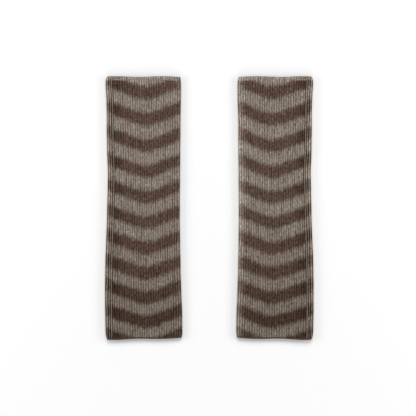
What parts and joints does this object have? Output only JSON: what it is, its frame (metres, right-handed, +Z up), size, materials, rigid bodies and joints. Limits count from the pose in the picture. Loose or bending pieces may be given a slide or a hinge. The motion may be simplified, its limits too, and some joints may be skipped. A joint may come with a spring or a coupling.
{
  "type": "pair of leg warmers",
  "caption": "Pair of long rib-knit leg warmers with soft chevron stripes, laid flat: open-ended tubes with a raised lengthwise seam and bound top and bottom edges.",
  "frame": {"origin": "on the surface the pair lies on, midway between the two legs and midway along them", "axes": "+X towards the right leg as seen from above, +Y along the legs towards their top edges, +Z up off the surface"},
  "size_m": [0.334, 0.422, 0.0081],
  "materials": {
    "rib_knit": "matt ribbed wool knit in two yarns, dark brown and heathered grey-beige, in soft chevron stripes",
    "edge_knit": "matt smooth bound-off knit in the light yarn",
    "hem_knit": "matt cast-on edge in the dark yarn",
    "seam_knit": "matt linked seam ridge"
  },
  "bodies": {
    "root": {"left_body": "rib_knit", "left_seam": "seam_knit", "left_top_edge": "edge_knit", "left_hem_edge": "hem_knit", "right_body": "rib_knit", "right_seam": "seam_knit", "right_top_edge": "edge_knit", "right_hem_edge": "hem_knit"}
  },
  "joints": []
}
